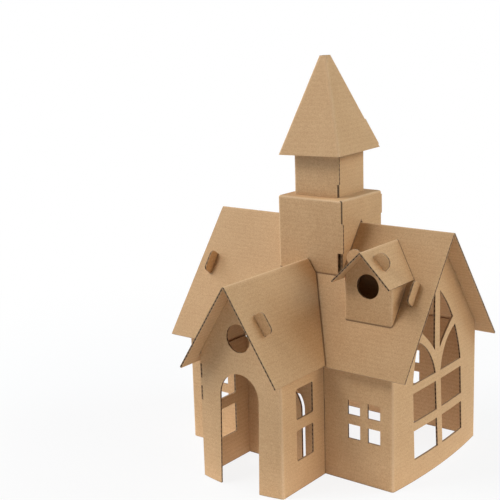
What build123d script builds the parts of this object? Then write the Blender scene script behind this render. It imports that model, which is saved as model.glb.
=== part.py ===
from build123d import *
from math import atan2, cos, degrees, radians, sin, sqrt, tan
import os

# Toy castle of folded and cut corrugated board, held together by tabs, slots and tongues.
# X runs along the ridge of the long hall, Y runs from the porch to the back, Z is up.
# The origin lies on the floor, in the middle of the castle's length and depth.

# Board
sheet = 1.5
fold = 1.8
play = 0.25
seat = 0.15
tongue_radius = 1.0
foot_length = 7

# Hall walls
hall_length = 184
hall_depth = 124
hall_floor_bow = 4.0
hall_head_bow = 0.3
hall_lock_low = 34
hall_lock_height = 22
hall_lock_reach = 2

# Hall roof
hall_ridge = 177
hall_pitch = 53
gable_overhang = 13
eave_overhang = 7.2
hall_tab_length = 17
hall_tab_height = 8
hall_tab_radius = 3.2
hall_tab_down = 51.5

# Gothic window of the gables
gothic_width = 72
gothic_sill = 15.5
gothic_pane_height = 21.8
gothic_bar = 6.2
gothic_mullion = 7
arch_rise = 63.3
arch_sagitta = 7.2
lancet_rise = 30
lancet_sagitta = 5
branch_foot_rise = 17
branch_head_rise = 36.5
branch_sagitta = 0.9

# Windows of four panes in the hall's long walls
pane_width = 10.2
pane_height = 11
pane_bar_x = 6.3
pane_bar_z = 7
pane_centre_z = 47
front_window_inset = 23.7
back_window_x = 30.3

# Inner door, a leaf that is cut out on three sides and stands ajar
leaf_radius = 18.5
leaf_spring = 46
leaf_gap = 0.8
leaf_angle = 5
leaf_root = 0.5

# Porch walls
porch_shift = 1
porch_width = 72
porch_depth = 51.5
porch_floor_bow = 4.5
porch_head_bow = 0.3
porch_bow_height = 88
door_width = 34.4
door_spring = 67.5
rose_height = 110.7
rose_radius = 10.3
side_pane_width = 20.3
side_pane_height = 22.8
side_pane_bar = 8
side_pane_sill = 22
side_pane_radius = 1.6
side_pane_setback = 24.4
wall_tab_low = 34
wall_tab_height = 24
wall_tab_reach = 9
finger_low = 59.2
finger_height = 10.1
finger_pitch = 16.6

# Porch roof
porch_ridge = 152.2
porch_pitch = 57
porch_front_overhang = 14.4
porch_eave_overhang = 6.7
porch_tab_length = 16
porch_tab_height = 8
porch_tab_radius = 3.6
porch_tab_down = 35
porch_roof_gap = 0.8

# Tower
tower_width = 56
tower_rise = 19
tower_tongue_down = 39
tower_tongue_height = 22
tower_tongue_reach = 2
tower_setback = 2.8
tower_rear_tongue_down = 18
tower_rear_tongue_height = 15
tower_rear_tongue_reach = 1.4
tower_foot_width = 16
tower_foot_down = 20

# Belfry
belfry_width = 38
belfry_tongue_rise = 10
belfry_tongue_reach = 2.2
belfry_gap = 0.8
belfry_foot_width = 14

# Spire
spire_width = 55
spire_top_width = 6.2
spire_rise = 31.6
spire_height = 70.6
spire_lean = 2
spire_lean_azimuth = 218
spire_tongue_height = 22
spire_tongue_reach = 1.1
spire_tongue_low = 1.5

# Dormer
dormer_inset = 29
dormer_width = 39.4
dormer_setback = 14.7
dormer_hole_height = 141.7
dormer_hole_radius = 9
dormer_ridge = 168.7
dormer_pitch = 44.6
dormer_front_overhang = 10.5
dormer_eave_overhang = 4.2
dormer_tab_length = 12.7
dormer_tab_height = 8
dormer_tab_radius = 5.6
dormer_tab_down = 13.4
dormer_foot_width = 10
dormer_foot_up = 12

# Places that follow from the sizes
front_reach = porch_depth + porch_front_overhang
back_reach = hall_depth + eave_overhang
hall_front = (front_reach - back_reach) / 2
hall_back = hall_front + hall_depth
hall_y = hall_front + hall_depth / 2
hall_left = -hall_length / 2
hall_right = hall_length / 2
hall_span = hall_depth / 2 + eave_overhang
front_window_x = hall_right - front_window_inset
porch_x = -porch_shift
porch_front = hall_front - porch_depth
porch_left = porch_x - porch_width / 2
porch_right = porch_x + porch_width / 2
tower_top = hall_ridge + tower_rise
tower_tongue_low = tower_top - tower_tongue_down
tower_rear_tongue_low = tower_top - tower_rear_tongue_down
tower_left = -tower_width / 2
tower_right = tower_width / 2
tower_front = hall_y - tower_width / 2
tower_back = hall_y + tower_width / 2
belfry_left = -belfry_width / 2
belfry_right = belfry_width / 2
belfry_front = hall_y - belfry_width / 2
dormer_x = hall_right - dormer_inset
dormer_front = hall_front + dormer_setback
dormer_left = dormer_x - dormer_width / 2
dormer_right = dormer_x + dormer_width / 2
spire_low = tower_top + spire_rise
beyond = 2 * hall_length


def across(x):
    """Plane across the hall, with Y to the right and Z up."""
    return Plane.YZ.offset(x)


def facing(y):
    """Plane that faces the front, with X to the right and Z up."""
    return Plane.XZ.offset(-y)


def block(x, y, z, mode=Mode.ADD):
    """Straight block between the two ends given along each axis."""
    with Locations(((x[0] + x[1]) / 2, (y[0] + y[1]) / 2, (z[0] + z[1]) / 2)):
        Box(x[1] - x[0], y[1] - y[0], z[1] - z[0], mode=mode)


def slope_z(ridge, pitch, away):
    """Height of a roof's outer face at a level distance from its ridge."""
    return ridge - abs(away) * tan(radians(pitch))


def under_roof(ridge, pitch, away):
    """Height of a wall that stands under a roof at a level distance from its ridge."""
    return slope_z(ridge, pitch, away) - (sheet + seat) / cos(radians(pitch))


def on_slope(centre, ridge, pitch, down, side):
    """Place on a roof's outer face, so far down one slope, turned along that slope."""
    away = down * cos(radians(pitch))
    return Location((centre + side * away, slope_z(ridge, pitch, away), 0), (0, 0, -side * pitch))


def roof_section(plane, centre, ridge, pitch, span):
    """Section of a roof sheet folded once at its ridge, with eaves cut square."""
    drop = span * tan(radians(pitch))
    edge_in = sheet * sin(radians(pitch))
    edge_down = sheet * cos(radians(pitch))
    with BuildSketch(plane) as section:
        with BuildLine():
            Polyline(
                (centre - span, ridge - drop),
                (centre, ridge),
                (centre + span, ridge - drop),
                (centre + span - edge_in, ridge - drop - edge_down),
                (centre, ridge - sheet / cos(radians(pitch))),
                (centre - span + edge_in, ridge - drop - edge_down),
                close=True,
            )
        make_face()
        fillet(section.vertices().sort_by(Axis.Y)[-1], fold)
    return section.sketch


def house_profile(plane, centre, ridge, pitch, half_width, low):
    """Outline of gabled walls under their roof. The tops of the side walls are cut level."""
    eave = under_roof(ridge, pitch, half_width)
    inner = half_width - sheet
    with BuildSketch(plane) as profile:
        with BuildLine():
            Polyline(
                (centre - half_width, low),
                (centre - half_width, eave),
                (centre - inner, eave),
                (centre - inner, under_roof(ridge, pitch, inner)),
                (centre, under_roof(ridge, pitch, 0)),
                (centre + inner, under_roof(ridge, pitch, inner)),
                (centre + inner, eave),
                (centre + half_width, eave),
                (centre + half_width, low),
                close=True,
            )
        make_face()
    return profile.sketch


def roof_tabs(plane, centre, ridge, pitch, down, length, height, radius):
    """Rounded tabs at the edges of a gable, one standing proud of each slope."""
    tall = height + sheet + seat + radius
    with BuildSketch(plane) as tabs:
        for side in (-1, 1):
            with Locations(on_slope(centre, ridge, pitch, down, side) * Location((0, height - tall / 2, 0))):
                RectangleRounded(length, tall, radius)
    return tabs.sketch


def roof_slots(plane, centre, ridge, pitch, down, length, sides=(-1, 1)):
    """Slots through a roof sheet, each a little longer than its tab."""
    with BuildSketch(plane) as slots:
        for side in sides:
            with Locations(on_slope(centre, ridge, pitch, down, side)):
                Rectangle(length + 2 * play, 4 * sheet)
    return slots.sketch


def feet(plane, down, width, sides=(-1, 1)):
    """Tabs under walls that stand on the hall roof, reaching through its slots."""
    with BuildSketch(plane) as tabs:
        for side in sides:
            place = on_slope(hall_y, hall_ridge, hall_pitch, down, side) * Location((0, 2 * sheet, 0))
            with Locations(place):
                Rectangle(width, 3 * sheet + foot_length, align=(Align.CENTER, Align.MAX))
    return tabs.sketch


def hall_roof_region(gap):
    """Everything under the hall roof's outer face grown by a gap, as a section across the hall."""
    rise = gap / cos(radians(hall_pitch))
    low = slope_z(hall_ridge, hall_pitch, hall_depth) + rise
    with BuildSketch(across(-beyond / 2)) as region:
        with BuildLine():
            Polyline(
                (hall_y - hall_depth, low),
                (hall_y, hall_ridge + rise),
                (hall_y + hall_depth, low),
                close=True,
            )
        make_face()
    return region.sketch


# Hall walls: one sheet folded at three corners and locked at the back left corner.
# The gables bow outwards, most at the floor.
def hall_outline(height, bow, inset=0):
    with BuildSketch(Plane.XY.offset(height)) as outline:
        with BuildLine():
            Line((hall_left, hall_front), (hall_right, hall_front))
            ThreePointArc((hall_right, hall_front), (hall_right + bow, hall_y), (hall_right, hall_back))
            Line((hall_right, hall_back), (hall_left, hall_back))
            ThreePointArc((hall_left, hall_back), (hall_left - bow, hall_y), (hall_left, hall_front))
        make_face()
        folds = outline.vertices().sort_by_distance((hall_left, hall_back, height))[1:]
        fillet(folds, fold)
        if inset:
            offset(amount=-inset, mode=Mode.REPLACE)
    return outline.sketch


def arch_half_width(rise):
    """Half the gothic window's width at a height above the spring of its arch."""
    half = gothic_width / 2
    chord = sqrt(half**2 + arch_rise**2)
    radius = (chord**2 / 4 + arch_sagitta**2) / (2 * arch_sagitta)
    back = radius - arch_sagitta
    centre_u = half / 2 - back * arch_rise / chord
    centre_rise = arch_rise / 2 - back * half / chord
    return centre_u + sqrt(radius**2 - (rise - centre_rise) ** 2)


def four_panes(plane, window_x):
    """Two windows of four panes, the same distance to each side of the middle."""
    with BuildSketch(plane) as panes:
        for x in (-window_x, window_x):
            with Locations((x, pane_centre_z)):
                with GridLocations(pane_width + pane_bar_x, pane_height + pane_bar_z, 2, 2):
                    Rectangle(pane_width, pane_height)
    return panes.sketch


hall_eave = under_roof(hall_ridge, hall_pitch, hall_depth / 2)
hall_tab = (hall_tab_length, hall_tab_height, hall_tab_radius)
gothic_half = gothic_width / 2
gothic_spring = gothic_sill + 2 * (gothic_pane_height + gothic_bar)

with BuildSketch(across(-beyond / 2)) as gothic_window:
    with BuildLine():
        Polyline(
            (hall_y + gothic_half, gothic_spring),
            (hall_y + gothic_half, gothic_sill),
            (hall_y - gothic_half, gothic_sill),
            (hall_y - gothic_half, gothic_spring),
        )
        SagittaArc((hall_y - gothic_half, gothic_spring), (hall_y, gothic_spring + arch_rise), arch_sagitta)
        SagittaArc((hall_y, gothic_spring + arch_rise), (hall_y + gothic_half, gothic_spring), arch_sagitta)
    make_face()
    with Locations((hall_y, gothic_sill + arch_rise)):
        Rectangle(gothic_mullion, 3 * arch_rise, mode=Mode.SUBTRACT)
    for row in (1, 2):
        with Locations((hall_y, gothic_sill + row * (gothic_pane_height + gothic_bar) - gothic_bar / 2)):
            Rectangle(gothic_width, gothic_bar, mode=Mode.SUBTRACT)
    for side in (-1, 1):
        tip_u = side * (arch_half_width(lancet_rise) + sheet)
        head_u = side * (arch_half_width(branch_head_rise) + sheet)
        foot = (hall_y + side * gothic_mullion / 2, gothic_spring)
        tip = (hall_y + tip_u, gothic_spring + lancet_rise)
        head = (hall_y + head_u, gothic_spring + branch_head_rise)
        crotch = (hall_y + side * gothic_mullion / 2, gothic_spring + branch_foot_rise)
        with BuildLine():
            SagittaArc(foot, tip, side * lancet_sagitta)
            Line(tip, head)
            SagittaArc(head, crotch, -side * branch_sagitta)
            Line(crotch, foot)
        make_face(mode=Mode.SUBTRACT)

with BuildSketch(facing(hall_front - sheet)) as leaf_opening:
    with Locations((porch_x, leaf_spring / 2)):
        Rectangle(2 * leaf_radius, leaf_spring)
    with Locations((porch_x, leaf_spring)):
        Circle(leaf_radius)

swing = radians(leaf_angle)
leaf_plane = Plane(
    origin=(porch_x - leaf_radius, hall_front, 0),
    x_dir=(cos(swing), -sin(swing), 0),
    z_dir=(-sin(swing), -cos(swing), 0),
)
with BuildSketch(leaf_plane) as leaf:
    with Locations((leaf_radius - (leaf_gap + leaf_root) / 2, leaf_spring / 2)):
        Rectangle(2 * leaf_radius - leaf_gap + leaf_root, leaf_spring)
    with Locations((leaf_radius, leaf_spring)):
        Circle(leaf_radius - leaf_gap)

# Room that the walls may fill: under the roof, and in the gables also the tabs
with BuildPart() as hall_room:
    extrude(
        house_profile(across(-beyond / 2), hall_y, hall_ridge, hall_pitch, hall_depth / 2, 0),
        amount=beyond,
    )
    for gable_x in (hall_left - hall_head_bow, hall_right - sheet):
        extrude(
            roof_tabs(across(gable_x), hall_y, hall_ridge, hall_pitch, hall_tab_down, *hall_tab),
            amount=sheet + hall_head_bow,
        )

with BuildPart() as hall_walls:
    loft([hall_outline(0, hall_floor_bow), hall_outline(hall_eave, hall_head_bow)], ruled=True)
    extrude(hall_outline(hall_eave, hall_head_bow), amount=hall_ridge - hall_eave)
    loft(
        [hall_outline(0, hall_floor_bow, sheet), hall_outline(hall_eave, hall_head_bow, sheet)],
        ruled=True,
        mode=Mode.SUBTRACT,
    )
    extrude(hall_outline(hall_eave, hall_head_bow, sheet), amount=hall_ridge, mode=Mode.SUBTRACT)
    add(hall_room.part, mode=Mode.INTERSECT)
    extrude(gothic_window.sketch, amount=beyond, mode=Mode.SUBTRACT)
    extrude(four_panes(facing(hall_front - sheet), front_window_x), amount=-3 * sheet, mode=Mode.SUBTRACT)
    extrude(four_panes(facing(hall_back + sheet), back_window_x), amount=3 * sheet, mode=Mode.SUBTRACT)
    extrude(leaf_opening.sketch, amount=-3 * sheet, mode=Mode.SUBTRACT)
    extrude(leaf.sketch, amount=-sheet)
    # Slits that take the tabs of the porch's side walls
    for wall_x in (porch_left, porch_right - sheet):
        block(
            (wall_x - play, wall_x + sheet + play),
            (hall_front - sheet, hall_front + 2 * sheet),
            (wall_tab_low - play, wall_tab_low + wall_tab_height + play),
            mode=Mode.SUBTRACT,
        )
    # Lock at the back left corner: a tongue of the back wall stands through the gable's edge
    block(
        (hall_left - hall_lock_reach, hall_left + sheet + play),
        (hall_back - sheet - play, hall_back + play),
        (hall_lock_low - play, hall_lock_low + hall_lock_height + play),
        mode=Mode.SUBTRACT,
    )
    block(
        (hall_left + sheet, hall_left + sheet + play),
        (hall_back - sheet - play, hall_back + play),
        (0, hall_ridge),
        mode=Mode.SUBTRACT,
    )
    block(
        (hall_left - hall_lock_reach, hall_left + sheet + 2 * play),
        (hall_back - sheet, hall_back),
        (hall_lock_low, hall_lock_low + hall_lock_height),
    )
hall_walls.part.label = "hall_walls"

# Hall roof: one sheet folded at the ridge. Its slots take the tabs of the gables, tower and dormer,
# and a notch in its front eave takes the porch.
dormer_foot_down = (hall_depth / 2 - dormer_setback) / cos(radians(hall_pitch)) - dormer_foot_up
wall_down = hall_depth / 2 / cos(radians(hall_pitch))
hall_slope = (hall_y, hall_ridge, hall_pitch)

with BuildSketch(across(porch_left - play)) as porch_notch:
    with Locations(on_slope(*hall_slope, wall_down, -1)):
        Rectangle(hall_span, 4 * sheet, align=(Align.MAX, Align.CENTER))

with BuildPart() as hall_roof:
    extrude(
        roof_section(across(hall_left - gable_overhang), hall_y, hall_ridge, hall_pitch, hall_span),
        amount=hall_length + 2 * gable_overhang,
    )
    for gable_x in (hall_left - hall_head_bow, hall_right - sheet):
        extrude(
            roof_slots(across(gable_x - play), *hall_slope, hall_tab_down, hall_tab_length),
            amount=sheet + hall_head_bow + 2 * play,
            mode=Mode.SUBTRACT,
        )
    for wall_x in (tower_left, tower_right - sheet):
        extrude(
            roof_slots(across(wall_x - play), *hall_slope, tower_foot_down, tower_foot_width),
            amount=sheet + 2 * play,
            mode=Mode.SUBTRACT,
        )
    for wall_x in (dormer_left, dormer_right - sheet):
        extrude(
            roof_slots(across(wall_x - play), *hall_slope, dormer_foot_down, dormer_foot_width, (-1,)),
            amount=sheet + 2 * play,
            mode=Mode.SUBTRACT,
        )
    extrude(porch_notch.sketch, amount=porch_width + 2 * play, mode=Mode.SUBTRACT)
hall_roof.part.label = "hall_roof"


# Porch walls: the front and the right wall are one folded sheet. The front bows outwards, most at
# the floor. Notches in its left edge take the fingers of the porch's loose side wall.
def porch_sheet(height, bow):
    with BuildSketch(Plane.XY.offset(height)) as section:
        with BuildLine() as outer_face:
            Line((porch_right, hall_front - seat), (porch_right, porch_front))
            ThreePointArc((porch_right, porch_front), (porch_x, porch_front - bow), (porch_left, porch_front))
            fillet(outer_face.vertices().sort_by_distance((porch_right, porch_front))[0], fold)
            offset(amount=sheet, side=Side.RIGHT)
        make_face()
    return section.sketch


def side_window(wall_x):
    """Window of two panes in a side wall of the porch."""
    pane_pitch = side_pane_height + side_pane_bar
    pane_y = hall_front - side_pane_setback
    pane_z = side_pane_sill + side_pane_height / 2
    with BuildSketch(across(wall_x - sheet)) as panes:
        with Locations((pane_y, pane_z), (pane_y, pane_z + pane_pitch)):
            RectangleRounded(side_pane_width, side_pane_height, side_pane_radius)
    extrude(panes.sketch, amount=3 * sheet, mode=Mode.SUBTRACT)


def wall_tab(wall_x):
    """Tab at the rear edge of a porch side wall, through the slit in the hall's front wall."""
    block(
        (wall_x, wall_x + sheet),
        (hall_front - seat - sheet, hall_front + wall_tab_reach),
        (wall_tab_low, wall_tab_low + wall_tab_height),
    )


porch_tab = (porch_tab_length, porch_tab_height, porch_tab_radius)

with BuildPart() as porch_room:
    extrude(
        house_profile(facing(hall_front), porch_x, porch_ridge, porch_pitch, porch_width / 2, 0),
        amount=porch_depth + porch_floor_bow,
    )
    extrude(
        roof_tabs(facing(porch_front + sheet), porch_x, porch_ridge, porch_pitch, porch_tab_down, *porch_tab),
        amount=sheet + porch_head_bow,
    )

with BuildSketch(facing(porch_front + 2 * sheet)) as porch_openings:
    with Locations((porch_x, door_spring / 2)):
        Rectangle(door_width, door_spring)
    with Locations((porch_x, door_spring)):
        Circle(door_width / 2)
    with Locations((porch_x, rose_height)):
        Circle(rose_radius)

with BuildPart() as porch_walls:
    loft([porch_sheet(0, porch_floor_bow), porch_sheet(porch_bow_height, porch_head_bow)], ruled=True)
    extrude(porch_sheet(porch_bow_height, porch_head_bow), amount=porch_ridge - porch_bow_height)
    add(porch_room.part, mode=Mode.INTERSECT)
    extrude(porch_openings.sketch, amount=3 * sheet + porch_floor_bow, mode=Mode.SUBTRACT)
    for row in (0, 1):
        block(
            (porch_left - play, porch_left + sheet + play),
            (porch_front - porch_floor_bow, porch_front + 2 * sheet),
            (finger_low + row * finger_pitch - play, finger_low + row * finger_pitch + finger_height + play),
            mode=Mode.SUBTRACT,
        )
    side_window(porch_right - sheet)
    wall_tab(porch_right - sheet)
porch_walls.part.label = "porch_walls"

# Porch side: the left wall, a flat sheet with fingers at the front and a tab at the back.
with BuildPart() as porch_side:
    block(
        (porch_left, porch_left + sheet),
        (porch_front + sheet + play, hall_front - seat),
        (0, under_roof(porch_ridge, porch_pitch, porch_width / 2)),
    )
    for row in (0, 1):
        block(
            (porch_left, porch_left + sheet),
            (porch_front, porch_front + 2 * sheet + play),
            (finger_low + row * finger_pitch, finger_low + row * finger_pitch + finger_height),
        )
    side_window(porch_left)
    wall_tab(porch_left)
porch_side.part.label = "porch_side"

# Porch roof: one sheet folded at the ridge. Its rear edge is cut to the hall roof and the tower.
porch_roof_rear = tower_front - porch_roof_gap
porch_roof_span = porch_width / 2 + porch_eave_overhang
porch_slope = (porch_x, porch_ridge, porch_pitch)

with BuildPart() as porch_roof:
    extrude(
        roof_section(facing(porch_roof_rear), porch_x, porch_ridge, porch_pitch, porch_roof_span),
        amount=porch_roof_rear - porch_front + porch_front_overhang,
    )
    extrude(hall_roof_region(porch_roof_gap), amount=beyond, mode=Mode.SUBTRACT)
    extrude(
        roof_slots(facing(porch_front + sheet + play), *porch_slope, porch_tab_down, porch_tab_length),
        amount=sheet + porch_head_bow + 2 * play,
        mode=Mode.SUBTRACT,
    )
porch_roof.part.label = "porch_roof"

# Tower: top and four walls are one net. The walls stand astride the hall roof, with feet through it.
# The right wall hangs from the top, with a tongue at its front corner and one at its rear corner.
tower_low = slope_z(hall_ridge, hall_pitch, tower_width / 2)

with BuildPart() as tower_walls:
    with BuildSketch(Plane.XY.offset(tower_low)) as tower_outline:
        with Locations((0, hall_y)):
            Rectangle(tower_width, tower_width)
        fillet(tower_outline.vertices().group_by(Axis.X)[0], fold)
    extrude(amount=tower_top - tower_low)
    fillet(tower_walls.faces().sort_by(Axis.Z)[-1].edges(), fold)
    block(
        (tower_left + sheet, tower_right - sheet),
        (tower_front + sheet, tower_back - sheet),
        (tower_low, tower_top - sheet),
        mode=Mode.SUBTRACT,
    )
    extrude(hall_roof_region(seat), amount=beyond, mode=Mode.SUBTRACT)
    for wall_x in (tower_left, tower_right - sheet):
        extrude(feet(across(wall_x), tower_foot_down, tower_foot_width), amount=sheet)
    # Front corner: the seam, the front wall's set-back foot and its tongue
    block(
        (tower_right - sheet, tower_right + sheet),
        (tower_front + sheet, tower_front + sheet + play),
        (tower_low, tower_top - fold),
        mode=Mode.SUBTRACT,
    )
    block(
        (tower_right - tower_setback, tower_right + sheet),
        (tower_front - sheet, tower_front + sheet + play),
        (tower_low, tower_tongue_low),
        mode=Mode.SUBTRACT,
    )
    with BuildSketch(facing(tower_front)) as tower_tongue:
        with Locations((tower_right, tower_tongue_low + tower_tongue_height / 2)):
            RectangleRounded(2 * tower_tongue_reach, tower_tongue_height, tongue_radius)
    extrude(tower_tongue.sketch, amount=-sheet)
    # Rear corner: the seam and the right wall's tongue
    block(
        (tower_right - sheet - play, tower_right - sheet),
        (tower_back - sheet, tower_back + sheet),
        (tower_low, tower_top - fold),
        mode=Mode.SUBTRACT,
    )
    with BuildSketch(across(tower_right)) as tower_rear_tongue:
        with Locations((tower_back, tower_rear_tongue_low + tower_rear_tongue_height / 2)):
            RectangleRounded(2 * tower_rear_tongue_reach, tower_rear_tongue_height, tongue_radius)
    extrude(tower_rear_tongue.sketch, amount=-sheet)
    # Slots that take the belfry's feet
    for wall_x in (belfry_left, belfry_right - sheet):
        block(
            (wall_x - play, wall_x + sheet + play),
            (hall_y - belfry_foot_width / 2 - play, hall_y + belfry_foot_width / 2 + play),
            (tower_top - 2 * sheet, tower_top + sheet),
            mode=Mode.SUBTRACT,
        )
tower_walls.part.label = "tower_walls"

# Spire: four faces from one sheet, folded at three hips and locked at the back right hip.
# It stands a little askew.
lean = radians(spire_lean)
lean_way = radians(spire_lean_azimuth)
spire_plane = Plane(
    origin=(0, hall_y, spire_low),
    x_dir=(1, 0, 0),
    z_dir=(sin(lean) * cos(lean_way), sin(lean) * sin(lean_way), cos(lean)),
)
spire_slope = (spire_width - spire_top_width) / 2 / spire_height
spire_taper = degrees(atan2(spire_slope, 1))
face_slant = sqrt(1 + spire_slope**2)


def spire_square(height, inset):
    """Section of the spire at a height above its lower edge, set in from the outer faces."""
    side = spire_width - 2 * spire_slope * height - 2 * inset * face_slant
    with BuildSketch(spire_plane.offset(height)) as section:
        Rectangle(side, side)
    return section.sketch


right_face = Plane(
    origin=spire_plane.origin + spire_plane.x_dir * (spire_width / 2),
    x_dir=spire_plane.y_dir,
    z_dir=spire_plane.x_dir + spire_plane.z_dir * spire_slope,
)

with BuildPart() as spire:
    extrude(spire_square(0, 0), amount=spire_height, taper=spire_taper)
    hips = spire.edges().sort_by(Axis.Z)[4:8].sort_by_distance((beyond, beyond, spire_low))
    fillet(hips[1:], fold)
    hollow_height = spire_height + 2 * sheet
    extrude(spire_square(-sheet, sheet), amount=hollow_height, taper=spire_taper, mode=Mode.SUBTRACT)
    tongue_up = spire_tongue_low + spire_tongue_height / 2
    tongue_out = spire_width / 2 - tongue_up * spire_slope / face_slant
    hip_lean = degrees(atan2(spire_slope, face_slant))
    with BuildSketch(right_face) as spire_tongue:
        with Locations(Location((tongue_out, tongue_up, 0), (0, 0, hip_lean))):
            RectangleRounded(2 * spire_tongue_reach, spire_tongue_height, tongue_radius)
    extrude(spire_tongue.sketch, amount=-sheet)
spire.part.label = "spire"

# Belfry: four walls from one sheet, folded at three corners and locked at the front right corner.
# The upper edges are cut to the inside of the spire, and two feet stand in the tower's top.
with BuildPart() as belfry_walls:
    with BuildSketch(Plane.XY.offset(tower_top + seat)) as belfry_outline:
        with Locations((0, hall_y)):
            Rectangle(belfry_width, belfry_width)
        folds = belfry_outline.vertices().sort_by_distance((belfry_right, belfry_front, tower_top))[1:]
        fillet(folds, fold)
    extrude(amount=spire_rise + spire_height)
    block(
        (belfry_left + sheet, belfry_right - sheet),
        (belfry_front + sheet, belfry_front + belfry_width - sheet),
        (tower_top, spire_low + 2 * spire_height),
        mode=Mode.SUBTRACT,
    )
    block(
        (belfry_right - sheet, belfry_right + sheet),
        (belfry_front + sheet, belfry_front + sheet + belfry_gap),
        (tower_top, spire_low + 2 * spire_height),
        mode=Mode.SUBTRACT,
    )
    block(
        (belfry_right - sheet, belfry_right + belfry_tongue_reach),
        (belfry_front, belfry_front + sheet),
        (tower_top + belfry_tongue_rise, spire_low + spire_height),
    )
    under_spire = spire_square(-spire_rise - 2 * sheet, sheet + seat)
    extrude(under_spire, amount=spire_rise + spire_height, taper=spire_taper, mode=Mode.INTERSECT)
    for wall_x in (belfry_left, belfry_right - sheet):
        block(
            (wall_x, wall_x + sheet),
            (hall_y - belfry_foot_width / 2, hall_y + belfry_foot_width / 2),
            (tower_top - sheet - foot_length, tower_top + 2 * sheet),
        )
belfry_walls.part.label = "belfry_walls"

# Dormer walls: front and sides are one folded sheet, cut to the hall roof, with feet through it.
dormer_slope = (dormer_x, dormer_ridge, dormer_pitch)
dormer_tab = (dormer_tab_down, dormer_tab_length, dormer_tab_height, dormer_tab_radius)
dormer_low = slope_z(hall_ridge, hall_pitch, hall_depth / 2 - dormer_setback)

with BuildPart() as dormer_room:
    extrude(
        house_profile(facing(hall_y), *dormer_slope, dormer_width / 2, dormer_low),
        amount=hall_depth / 2,
    )
    extrude(
        roof_tabs(facing(dormer_front + sheet), *dormer_slope, *dormer_tab),
        amount=sheet,
    )

with BuildPart() as dormer_walls:
    with BuildSketch(Plane.XY.offset(dormer_low)) as dormer_outline:
        with Locations((dormer_x, dormer_front)):
            Rectangle(dormer_width, hall_depth / 2, align=(Align.CENTER, Align.MIN))
        fillet(dormer_outline.vertices().group_by(Axis.Y)[0], fold)
    extrude(amount=dormer_ridge + dormer_tab_height - dormer_low)
    block(
        (dormer_left + sheet, dormer_right - sheet),
        (dormer_front + sheet, hall_back),
        (dormer_low, dormer_ridge + dormer_tab_height),
        mode=Mode.SUBTRACT,
    )
    add(dormer_room.part, mode=Mode.INTERSECT)
    extrude(hall_roof_region(seat), amount=beyond, mode=Mode.SUBTRACT)
    with BuildSketch(facing(dormer_front - sheet)) as dormer_hole:
        with Locations((dormer_x, dormer_hole_height)):
            Circle(dormer_hole_radius)
    extrude(dormer_hole.sketch, amount=-3 * sheet, mode=Mode.SUBTRACT)
    for wall_x in (dormer_left, dormer_right - sheet):
        extrude(feet(across(wall_x), dormer_foot_down, dormer_foot_width, (-1,)), amount=sheet)
dormer_walls.part.label = "dormer_walls"

# Dormer roof: one sheet folded at the ridge. Its rear edge is cut to the hall roof.
dormer_span = dormer_width / 2 + dormer_eave_overhang

with BuildPart() as dormer_roof:
    extrude(
        roof_section(facing(hall_y), *dormer_slope, dormer_span),
        amount=hall_depth / 2 - dormer_setback + dormer_front_overhang,
    )
    extrude(hall_roof_region(seat), amount=beyond, mode=Mode.SUBTRACT)
    extrude(
        roof_slots(facing(dormer_front + sheet + play), *dormer_slope, dormer_tab_down, dormer_tab_length),
        amount=sheet + 2 * play,
        mode=Mode.SUBTRACT,
    )
dormer_roof.part.label = "dormer_roof"

os.makedirs("parts", exist_ok=True)
for piece in (
    hall_walls,
    hall_roof,
    porch_walls,
    porch_side,
    porch_roof,
    tower_walls,
    belfry_walls,
    spire,
    dormer_walls,
    dormer_roof,
):
    export_step(piece.part, "parts/" + piece.part.label + ".step")
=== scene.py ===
from math import cos, pi, radians, sin, tan

import bmesh
import bpy
from mathutils import Matrix, Vector

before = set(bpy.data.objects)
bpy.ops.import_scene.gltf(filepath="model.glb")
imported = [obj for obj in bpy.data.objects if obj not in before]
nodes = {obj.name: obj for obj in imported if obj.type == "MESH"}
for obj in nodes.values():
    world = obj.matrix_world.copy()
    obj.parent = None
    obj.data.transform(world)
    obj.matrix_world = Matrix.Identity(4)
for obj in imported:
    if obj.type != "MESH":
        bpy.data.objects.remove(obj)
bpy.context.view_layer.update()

mm = 0.001
square = radians(90)
level = (0, 0, 1)

# Camera. It stands a little above the castle, off its front right corner, at the photograph's
# angle. Each direction is one axis of its body, as the castle's straight edges give it.
to_the_right = Vector((0.79177, 0.61018, -0.02787))
upwards = Vector((-0.11284, 0.19096, 0.97509))
backwards = Vector((0.60030, -0.76891, 0.22005))
eye = Vector((0.44154, -0.62219, 0.33242))
lens = bpy.data.cameras.new("camera")
lens.lens = 75.84
lens.sensor_width = 36
lens.shift_x = -0.0223
lens.shift_y = -0.0063
lens.clip_start = 0.01
camera = bpy.data.objects.new("camera", lens)
turned = Matrix((to_the_right, upwards, backwards)).transposed()
camera.matrix_world = Matrix.Translation(eye) @ turned.to_4x4()
bpy.context.scene.collection.objects.link(camera)
bpy.context.scene.camera = camera
bpy.context.scene.view_settings.view_transform = "Standard"


# Hall walls: one sheet of brown corrugated board, scored and folded at three corners and locked at
# the back left one. Its cut edges show the wave between the two liners, with painted shade in the
# hollows of the flutes. The gables bow outwards, most at the floor.
sheet = 1.5 * mm
seat = 0.15 * mm
fold_radius = 1.8 * mm
flute_pitch = 3.3 * mm
liner_thickness = 0.3 * mm
wave_half_thickness = 0.15 * mm
warp = 0.06 * mm
bowed_warp = 0.3 * mm
bow_at_head = 0.3 * mm
gable_bow_at_floor = 4.0 * mm
hall_length = 184 * mm
hall_depth = 124 * mm
hall_ridge_height = 177 * mm
hall_pitch = radians(53)
hall_front = -32.65 * mm
hall_back = hall_front + hall_depth
hall_middle = hall_front + hall_depth / 2
hall_right = hall_length / 2
hall_eave = hall_ridge_height - hall_depth / 2 * tan(hall_pitch) - (sheet + seat) / cos(hall_pitch)
gable_bow = (hall_middle, (0, 1, 0), hall_depth / 2, gable_bow_at_floor, bow_at_head, hall_eave)
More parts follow.
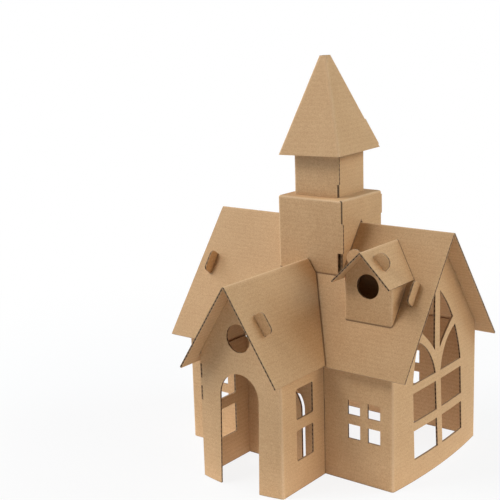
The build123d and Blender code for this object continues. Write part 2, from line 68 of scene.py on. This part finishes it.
leaf_hinge = (-19.5 * mm, hall_front, 0)
leaf_swing = radians(5)

kraft_light = (0.64, 0.415, 0.222, 1)
kraft_dark = (0.49, 0.288, 0.134, 1)
kraft_fibre = (0.26, 0.145, 0.07, 1)
# The colour of the painted highlight along the folds.
fold_highlight_colour = (0.74, 0.51, 0.3, 1)
# Cut edges: the cut liner, the wave darkened by painted shade, and near-black painted shade in the flute
# hollows. The two darker colours also give the painted shadows along gaps.
cut_liner = (0.43, 0.28, 0.155, 1)
cut_wave_and_gap_shade = (0.22, 0.13, 0.07, 1)
hollow_and_gap_shade = (0.016, 0.009, 0.006, 1)
cloud_size = 26 * mm
grain_size = 0.83 * mm
fibre_size = 2.4 * mm
fibre_flatness = 6.0
speck_size = 0.67 * mm
speck_from, speck_to = 0.72, 0.80
speck_strength = 0.3
cloud_contrast = 0.5
grain_contrast = 1.9
fibre_contrast = 0.6
# The flutes show through the liners as a washboard; on the inner faces it is painted stronger, as shade
# from light grazing them.
washboard_outside = 0.06
washboard_inside_and_grazing_shade = 0.12
# Painted highlight along each fold: a broad band, and a crisp line at the fold itself.
fold_highlight_reach = 2.4 * mm
fold_highlight_paling, fold_highlight_grain = 0.05, 0.4
crisp_highlight_reach = 0.5 * mm
crisp_highlight_paling, crisp_highlight_grain = 0.15, 0.5
# Painted shadow along gaps and joints: its strength at the gap, and the width over which it fades.
gap_shadow_strength = 0.85
gap_shadow_fade = 0.5 * mm
least_facing = 0.57
along_flutes, across_flutes = 0.45, 0.9
liner_roughness = 0.74
cut_roughness = 0.95
board_shine = 0.25
wave_relief, grain_relief, fibre_relief, cloud_relief, card_relief = 0.035, 0.06, 0.05, 0.25, 0.6
relief_depth = 0.5 * mm
relief_strength = 0.7


class Amount:
    """A number, vector or colour that varies over a surface."""

    def __init__(self, finish, socket):
        self.finish = finish
        self.socket = socket

    def maths(self, operation, *others):
        sockets = dict(enumerate((self, *others)))
        return self.finish.node("ShaderNodeMath", {"operation": operation}, sockets)

    def vector_maths(self, operation, *others, output=0):
        sockets = dict(enumerate((self, *others)))
        return self.finish.node("ShaderNodeVectorMath", {"operation": operation}, sockets, output)

    def dot(self, direction):
        return self.vector_maths("DOT_PRODUCT", tuple(direction), output="Value")

    def within(self, middle, reach):
        return self.maths("COMPARE", middle, reach)

    def clamp_last(self):
        self.socket.node.use_clamp = True
        return self

    def ramp(self, low, high):
        """0 below low and 1 above high."""
        return self.finish.node(
            "ShaderNodeMapRange",
            {"clamp": True, "interpolation_type": "SMOOTHSTEP"},
            {"Value": self, "From Min": low, "From Max": high, "To Min": 0.0, "To Max": 1.0},
        )

    def __add__(self, other):
        return self.maths("ADD", other)

    def __radd__(self, other):
        return self.maths("ADD", other)

    def __mul__(self, other):
        return self.maths("MULTIPLY", other)

    def __rmul__(self, other):
        return self.maths("MULTIPLY", other)

    def __sub__(self, other):
        return self.maths("SUBTRACT", other)

    def __rsub__(self, other):
        return self.finish.node("ShaderNodeMath", {"operation": "SUBTRACT"}, {0: other, 1: self})

    def __truediv__(self, other):
        return self.maths("DIVIDE", other)

    def __abs__(self):
        return self.maths("ABSOLUTE")

    def __gt__(self, other):
        return self.maths("GREATER_THAN", other)

    def __lt__(self, other):
        return self.maths("LESS_THAN", other)


class Finish:
    """The nodes of one material, or of the surround."""

    def __init__(self, owner, shader="Principled BSDF"):
        owner.use_nodes = True
        self.owner = owner
        self.tree = owner.node_tree
        self.shader = self.tree.nodes[shader]

    def node(self, kind, settings=(), sockets=(), output=0):
        made = self.tree.nodes.new(kind)
        for word, value in dict(settings).items():
            setattr(made, word, value)
        for key, value in dict(sockets).items():
            if isinstance(value, Amount):
                self.tree.links.new(value.socket, made.inputs[key])
            else:
                made.inputs[key].default_value = value
        return Amount(self, made.outputs[output])

    def mix(self, factor, low, high):
        return self.node("ShaderNodeMix", {"data_type": "RGBA"}, {0: factor, 6: low, 7: high}, 2)

    def blend(self, factor, low, high):
        return self.node("ShaderNodeMix", {"data_type": "FLOAT"}, {0: factor, 2: low, 3: high}, 0)

    def noise(self, place, size, detail):
        sockets = {"Vector": place, "Scale": 1 / size, "Detail": detail}
        return self.node("ShaderNodeTexNoise", {"noise_dimensions": "3D"}, sockets, "Fac")

    def feed(self, socket, value):
        if isinstance(value, Amount):
            self.tree.links.new(value.socket, self.shader.inputs[socket])
        else:
            self.shader.inputs[socket].default_value = value


def bowed(place, centre, along, half_width, at_floor, at_head, head):
    """How far a bowed wall stands out from its flat place."""
    height = (place.dot(level) / head).clamp_last()
    swell = height * (at_head - at_floor) + at_floor
    off = (place.dot(along) - centre) / half_width
    return swell * (1 - off * off)


def laid_out(finish, place, panels):
    """Where a place lies in the board of its panel.

    It gives 1 on the liners and 0 on the cut edges, the depth under the outer face, the distance
    across the flutes, and how far the surface faces along that distance."""
    facing = finish.node("ShaderNodeNewGeometry", output="True Normal")
    liner, depth, across, beside = None, None, None, None
    for point, outward, over, bow in panels:
        point, outward, over = Vector(point), Vector(outward).normalized(), Vector(over).normalized()
        under_face = point.dot(outward) - place.dot(outward)
        if bow:
            under_face = under_face + bowed(place, *bow)
        inside = under_face.within(sheet / 2, sheet / 2 + (bowed_warp if bow else warp))
        flat = inside * (abs(facing.dot(outward)) > least_facing)
        count = place.dot(over)
        turned = abs(facing.dot(over))
        if liner is None:
            liner, depth, across, beside = flat, under_face, count, turned
        else:
            liner = liner.maths("MAXIMUM", flat)
            depth = finish.blend(inside, depth, under_face)
            across = finish.blend(inside, across, count)
            beside = finish.blend(inside, beside, turned)
    return liner, depth, across, beside


def with_fold_highlights(finish, paper, place, folds, grain, fibres):
    """Painted highlight: paper a little paler along each fold, as light catches the rounded board."""
    highlight = None
    for point, along, turn in folds:
        set_back = fold_radius * (1 / cos(turn / 2) - 1)
        from_point = place.vector_maths("SUBTRACT", tuple(point))
        off_line = from_point.vector_maths("CROSS_PRODUCT", tuple(along))
        off_line = off_line.vector_maths("LENGTH", output="Value")
        broad_highlight = 1 - off_line.ramp(set_back, set_back + fold_highlight_reach)
        crisp_highlight = 1 - off_line.ramp(set_back + 0.1 * crisp_highlight_reach, set_back + crisp_highlight_reach)
        near = broad_highlight * (fold_highlight_paling + grain * fold_highlight_grain) + crisp_highlight * (crisp_highlight_paling + fibres * crisp_highlight_grain)
        highlight = near if highlight is None else highlight.maths("MAXIMUM", near)
    return paper if highlight is None else finish.mix(highlight.clamp_last(), paper, fold_highlight_colour)


def cut_edge(finish, depth, wave, beside, grain):
    """The colour of a cut edge and 1 where there is card in it.

    Where the cut goes across the flutes it shows the open wave with painted shade in its hollows,
    and where it runs along them it shows the side of one flute."""
    from_middle = depth - sheet / 2
    open_ends = 1 - beside.ramp(along_flutes, across_flutes)
    on_wave = abs(from_middle - wave * (sheet / 2 - liner_thickness)) < wave_half_thickness
    on_liner = abs(from_middle) > sheet / 2 - liner_thickness
    card = on_wave.maths("MAXIMUM", on_liner).maths("MAXIMUM", 1 - open_ends)
    # Painted shade: the hollows of the open wave are near black, lighter towards the wave.
    out_of_hollow_shade = (wave * 1.2 + 0.2).clamp_last()
    ends = finish.mix(on_wave * (0.4 + grain), finish.mix(out_of_hollow_shade, hollow_and_gap_shade, cut_wave_and_gap_shade), cut_wave_and_gap_shade)
    flute_side = finish.mix(0.3 + grain * 0.8, cut_wave_and_gap_shade, cut_liner)
    colour = finish.mix(open_ends, flute_side, ends)
    return finish.mix(on_liner * (0.45 + grain * 0.9), colour, cut_liner), card


def corrugated(piece, panels, folds, painted_gap_shadows=()):
    """Gives a piece of folded board its liners, painted highlights along its folds, painted
    shadows along its gaps, and its cut edges.

    A panel is a point of its outer face, its outward direction, the direction across its flutes,
    and how it bows. A fold is a point of its line, the line's direction and how far the board
    turns there. A painted gap shadow is the distance from its gap, how far it reaches, and its colour."""
    finish = Finish(bpy.data.materials.new(piece.name + "_board"))
    place = finish.node("ShaderNodeTexCoord", output="Object")
    liner, depth, across, beside = laid_out(finish, place, panels)
    clouds = finish.noise(place, cloud_size, 3.0)
    grain = finish.noise(place, grain_size, 2.0)
    flattened = {"Vector": place, "Scale": (1, 1, fibre_flatness)}
    stretched = finish.node("ShaderNodeMapping", sockets=flattened)
    fibres = finish.noise(stretched, fibre_size, 3.0)
    wave = (across * (2 * pi / flute_pitch)).maths("SINE")

    # Painted shade: the washboard is stronger on the inner faces, as grazing light shows it there.
    inner_face = depth.ramp(0.6 * sheet, 0.7 * sheet)
    washboard_and_grazing_shade = wave * finish.blend(inner_face, washboard_outside, washboard_inside_and_grazing_shade)
    tone = 0.5 + (clouds - 0.5) * cloud_contrast + (grain - 0.5) * grain_contrast
    tone = tone + (fibres - 0.5) * fibre_contrast + washboard_and_grazing_shade
    paper = finish.mix(tone.clamp_last(), kraft_dark, kraft_light)
    specks = finish.noise(place, speck_size, 0.0).ramp(speck_from, speck_to) * speck_strength
    paper = finish.mix(specks, paper, kraft_fibre)
    paper = with_fold_highlights(finish, paper, place, folds, grain, fibres)
    # Painted shadow: the board is darkened within each gap shadow's reach of its gap.
    for off_gap, reach, colour in painted_gap_shadows:
        beyond_gap_shadow = abs(off_gap(place)).ramp(reach - gap_shadow_fade, reach)
        paper = finish.mix(gap_shadow_strength - beyond_gap_shadow * gap_shadow_strength, paper, colour)
    edge, card = cut_edge(finish, depth, wave, beside, grain)

    finish.feed("Base Color", finish.mix(liner, edge, paper))
    finish.feed("Roughness", finish.blend(liner, cut_roughness, liner_roughness + (grain - 0.5) * 0.2))
    finish.feed("Specular IOR Level", board_shine)
    relief = wave * wave_relief + grain * grain_relief + fibres * fibre_relief + clouds * cloud_relief
    relief = finish.blend(liner, card * card_relief, relief)
    sockets = {"Height": relief, "Strength": relief_strength, "Distance": relief_depth}
    finish.feed("Normal", finish.node("ShaderNodeBump", sockets=sockets))
    for spot in piece.material_slots:
        spot.material = finish.owner


corrugated(
    nodes["hall_walls"],
    [
        (leaf_hinge, (-sin(leaf_swing), -cos(leaf_swing), 0), level, None),
        ((0, hall_front, 0), (0, -1, 0), level, None),
        ((0, hall_back, 0), (0, 1, 0), level, None),
        ((hall_right, 0, 0), (1, 0, 0), level, gable_bow),
        ((-hall_right, 0, 0), (-1, 0, 0), level, gable_bow),
    ],
    [
        ((hall_right, hall_front, 0), level, square),
        ((-hall_right, hall_front, 0), level, square),
        ((hall_right, hall_back, 0), level, square),
    ],
)


# Hall roof: one sheet scored along its ridge and laid over the gables, whose rounded tabs come up
# through its slots. Its flutes run along the ridge.
def two_slopes(ridge_point, ridge_way, pitch):
    """The two panels of a roof folded at its ridge."""
    sideways = Vector(ridge_way).cross(Vector(level))
    slopes = []
    for side in (-1, 1):
        outward = sideways * side * sin(pitch) + Vector((0, 0, cos(pitch)))
        down = sideways * side * cos(pitch) - Vector((0, 0, sin(pitch)))
        slopes.append((ridge_point, outward, down, None))
    return slopes


hall_ridge = (0, hall_middle, hall_ridge_height)
corrugated(
    nodes["hall_roof"],
    two_slopes(hall_ridge, (1, 0, 0), hall_pitch),
    [(hall_ridge, (1, 0, 0), 2 * hall_pitch)],
)

# Porch walls: the front and the right wall are one folded sheet, and its front bows out at the
# floor. A tab of the right wall stands in a slit of the hall, and painted shadow darkens the wall
# where it meets the hall front.
porch_middle = -1 * mm
porch_half = 36 * mm
porch_depth = 51.5 * mm
porch_front = hall_front - porch_depth
porch_right = porch_middle + porch_half
porch_bow_at_floor = 4.5 * mm
porch_bow_height = 88 * mm
porch_bow = (porch_middle, (1, 0, 0), porch_half, porch_bow_at_floor, bow_at_head, porch_bow_height)
tab_gap_shadow_reach = 1.0 * mm


def off_hall_front(place):
    return place.dot((0, 1, 0)) - hall_front


corrugated(
    nodes["porch_walls"],
    [
        ((porch_right, 0, 0), (1, 0, 0), level, None),
        ((0, porch_front, 0), (0, -1, 0), level, porch_bow),
    ],
    [((porch_right, porch_front, 0), level, square)],
    [(off_hall_front, tab_gap_shadow_reach, cut_wave_and_gap_shade)],
)

# Porch side: the left wall is a flat sheet of its own, whose two fingers lie in notches of the
# porch front.
porch_left = porch_middle - porch_half
corrugated(nodes["porch_side"], [((porch_left, 0, 0), (-1, 0, 0), level, None)], [])

# Porch roof: one sheet scored along its ridge, laid over the tabs of the porch front. Its rear
# edge is cut to the hall roof and the tower, and painted shadow darkens it where it meets them.
porch_pitch = radians(57)
porch_ridge_height = 152.2 * mm
porch_ridge = (porch_middle, 0, porch_ridge_height)
rear_gap_shadow_reach = 2.0 * mm
tower_half = 28 * mm
tower_front = hall_middle - tower_half


def off_hall_roof(place):
    away = abs(place.dot((0, 1, 0)) - hall_middle)
    return away * sin(hall_pitch) + (place.dot(level) - hall_ridge_height) * cos(hall_pitch)


def off_tower_front(place):
    return place.dot((0, 1, 0)) - tower_front


corrugated(
    nodes["porch_roof"],
    two_slopes(porch_ridge, (0, 1, 0), porch_pitch),
    [(porch_ridge, (0, 1, 0), 2 * porch_pitch)],
    [(off_hall_roof, rear_gap_shadow_reach, cut_wave_and_gap_shade), (off_tower_front, rear_gap_shadow_reach, cut_wave_and_gap_shade)],
)

# Tower: its top and four walls are one net that stands astride the hall's ridge, with tongues
# over the corners. Painted shadow darkens its lower edges along the hall roof, and near-black
# painted shade its open front right corner.
tower_top = 196 * mm
tower_seam_gap = 0.25 * mm
tower_seam = tower_front + sheet + tower_seam_gap
tower_seam_shadow_reach = 1.3 * mm
foot_gap_shadow_reach = 1.1 * mm
tower_folds = []
for side in (-1, 1):
    tower_folds.append(((side * tower_half, 0, tower_top), (0, 1, 0), square))
    tower_folds.append(((0, hall_middle + side * tower_half, tower_top), (1, 0, 0), square))
    tower_folds.append(((-tower_half, hall_middle + side * tower_half, 0), level, square))


def off_tower_seam(place):
    behind = abs(place.dot((0, 1, 0)) - tower_seam)
    return behind.maths("MAXIMUM", tower_half - place.dot((1, 0, 0)))


corrugated(
    nodes["tower_walls"],
    [
        ((0, 0, tower_top), level, (0, 1, 0), None),
        ((0, tower_front, 0), (0, -1, 0), level, None),
        ((0, hall_middle + tower_half, 0), (0, 1, 0), level, None),
        ((tower_half, 0, 0), (1, 0, 0), level, None),
        ((-tower_half, 0, 0), (-1, 0, 0), level, None),
    ],
    tower_folds,
    [(off_hall_roof, foot_gap_shadow_reach, cut_wave_and_gap_shade), (off_tower_seam, tower_seam_shadow_reach, hollow_and_gap_shade)],
)

# Belfry: four walls from one sheet, locked at the front right corner by a long tongue, standing on
# two feet in the tower's top. Near-black painted shade darkens the seam at that corner.
belfry_half = 19 * mm
belfry_seam_gap = 0.8 * mm
belfry_seam = hall_middle - belfry_half + sheet + belfry_seam_gap
belfry_seam_shadow_reach = 1.6 * mm


def off_belfry_seam(place):
    behind = abs(place.dot((0, 1, 0)) - belfry_seam)
    return behind.maths("MAXIMUM", belfry_half - place.dot((1, 0, 0)))


corrugated(
    nodes["belfry_walls"],
    [
        ((0, hall_middle - belfry_half, 0), (0, -1, 0), level, None),
        ((0, hall_middle + belfry_half, 0), (0, 1, 0), level, None),
        ((belfry_half, 0, 0), (1, 0, 0), level, None),
        ((-belfry_half, 0, 0), (-1, 0, 0), level, None),
    ],
    [
        ((-belfry_half, hall_middle - belfry_half, 0), level, square),
        ((-belfry_half, hall_middle + belfry_half, 0), level, square),
        ((belfry_half, hall_middle + belfry_half, 0), level, square),
    ],
    [(off_belfry_seam, belfry_seam_shadow_reach, hollow_and_gap_shade)],
)

# Spire: four leaning faces from one sheet, folded at three hips. It rests a little askew on the
# belfry's upper edges.
spire_half = 27.5 * mm
spire_top_half = 3.1 * mm
spire_height = 70.6 * mm
lean = radians(2)
lean_way = radians(218)
spire_up = Vector((sin(lean) * cos(lean_way), sin(lean) * sin(lean_way), cos(lean)))
spire_deep = spire_up.cross(Vector((1, 0, 0))).normalized()
spire_wide = spire_deep.cross(spire_up)
spire_foot_height = 227.6 * mm
spire_foot = Vector((0, hall_middle, spire_foot_height))
spire_slope = (spire_half - spire_top_half) / spire_height
spire_faces = []
for sideways in (spire_wide, spire_deep, -spire_wide, -spire_deep):
    outward = sideways + spire_up * spire_slope
    spire_faces.append((spire_foot + sideways * spire_half, outward, spire_up, None))
spire_folds = []
for wide, deep in ((1, -1), (-1, -1), (-1, 1)):
    to_corner = spire_wide * wide + spire_deep * deep
    corner = spire_foot + to_corner * spire_half
    tip = spire_foot + spire_up * spire_height + to_corner * spire_top_half
    spire_folds.append((corner, (tip - corner).normalized(), square))
corrugated(nodes["spire"], spire_faces, spire_folds)

# Dormer walls: front and sides are one folded sheet, cut to the slope of the hall roof, with feet
# through its slots. Painted shadow darkens their lower edges along the hall roof.
dormer_middle = 63 * mm
dormer_half = 19.7 * mm
dormer_set_back = 14.7 * mm
dormer_front = hall_front + dormer_set_back
corrugated(
    nodes["dormer_walls"],
    [
        ((0, dormer_front, 0), (0, -1, 0), level, None),
        ((dormer_middle + dormer_half, 0, 0), (1, 0, 0), level, None),
        ((dormer_middle - dormer_half, 0, 0), (-1, 0, 0), level, None),
    ],
    [
        ((dormer_middle + dormer_half, dormer_front, 0), level, square),
        ((dormer_middle - dormer_half, dormer_front, 0), level, square),
    ],
    [(off_hall_roof, foot_gap_shadow_reach, cut_wave_and_gap_shade)],
)

# Dormer roof: one small sheet scored along its ridge, with the two tabs of the dormer front through
# its slots. Its rear edge is cut to the hall roof, and painted shadow darkens it there.
dormer_pitch = radians(44.6)
dormer_ridge_height = 168.7 * mm
dormer_ridge = (dormer_middle, 0, dormer_ridge_height)
corrugated(
    nodes["dormer_roof"],
    two_slopes(dormer_ridge, (0, 1, 0), dormer_pitch),
    [(dormer_ridge, (0, 1, 0), 2 * dormer_pitch)],
    [(off_hall_roof, foot_gap_shadow_reach, cut_wave_and_gap_shade)],
)

# Studio: a plain white floor, five broad lamps round the castle, and a faint one flat under it that
# brightens its hollows. The floor is paled where it is looked at, and keeps a soft shadow.
floor_reach = 6.0
floor_drop = 0.2 * mm
floor_grey = 0.83
floor_paling = 0.87
shadow_from, shadow_to = 0.2, 0.6
floor_form = bmesh.new()
bmesh.ops.create_grid(floor_form, x_segments=1, y_segments=1, size=floor_reach)
floor_mesh = bpy.data.meshes.new("floor")
floor_form.to_mesh(floor_mesh)
floor_form.free()
floor = bpy.data.objects.new("floor", floor_mesh)
floor.location.z = -floor_drop
bpy.context.scene.collection.objects.link(floor)


def seen_directly(finish):
    """1 where the eye, a shiny face or a clear one looks at it, and 0 for the light it gives off."""
    rays = finish.node("ShaderNodeLightPath").socket.node.outputs
    seen = Amount(finish, rays["Is Camera Ray"])
    for kind_of_ray in ("Is Glossy Ray", "Is Transmission Ray"):
        seen = seen.maths("MAXIMUM", Amount(finish, rays[kind_of_ray]))
    return seen


floor_finish = Finish(bpy.data.materials.new("studio_white"))
floor_place = floor_finish.node("ShaderNodeTexCoord", output="Object")
far_off = floor_place.vector_maths("LENGTH", output="Value").ramp(shadow_from, shadow_to)
floor_finish.feed("Base Color", (floor_grey, floor_grey, floor_grey, 1))
floor_finish.feed("Roughness", 0.9)
floor_finish.feed("Specular IOR Level", 0.0)
white = floor_finish.node("ShaderNodeEmission", sockets={"Color": (1, 1, 1, 1), "Strength": 1.0})
plain = Amount(floor_finish, floor_finish.shader.outputs[0])
paled = seen_directly(floor_finish) * (floor_paling + far_off * (1 - floor_paling))
shown = floor_finish.node("ShaderNodeMixShader", sockets={0: paled, 1: plain, 2: white})
floor_finish.tree.links.new(shown.socket, floor_finish.tree.nodes["Material Output"].inputs["Surface"])
floor_mesh.materials.append(floor_finish.owner)

surround = Finish(bpy.data.worlds.new("surround"), "Background")
surround.feed("Color", (1, 1, 1, 1))
surround.feed("Strength", seen_directly(surround))
bpy.context.scene.world = surround.owner


def lamp(name, place, target, size, watts, colour):
    light = bpy.data.lights.new(name, "AREA")
    light.shape = "SQUARE"
    light.size = size
    light.energy = watts
    light.color = colour
    holder = bpy.data.objects.new(name, light)
    holder.location = place
    holder.rotation_euler = (Vector(target) - Vector(place)).to_track_quat("-Z", "Y").to_euler()
    holder.visible_camera = False
    bpy.context.scene.collection.objects.link(holder)


castle_middle = (0, 0, 0.12)
lamp("upper_left_lamp", (-0.9, -1.1, 1.75), castle_middle, 0.95, 28.8, (0.975, 0.985, 1))
lamp("left_lamp", (-1.7, -0.2, 1.0), castle_middle, 1.0, 15.6, (0.95, 0.96, 1))
lamp("low_left_lamp", (-1.5, -1.0, 0.4), castle_middle, 0.8, 6.6, (0.64, 0.81, 1))
lamp("right_lamp", (1.65, 0.1, 0.9), castle_middle, 1.0, 11.2, (1, 0.85, 0.69))
lamp("back_right_lamp", (1.2, 1.0, 1.2), castle_middle, 1.0, 20.0, (0.7, 0.87, 1))
lamp("light_table", (0, 0.03, 0.4 * mm), (0, 0.03, 1), 0.3, 0.19, (0.95, 0.95, 1))
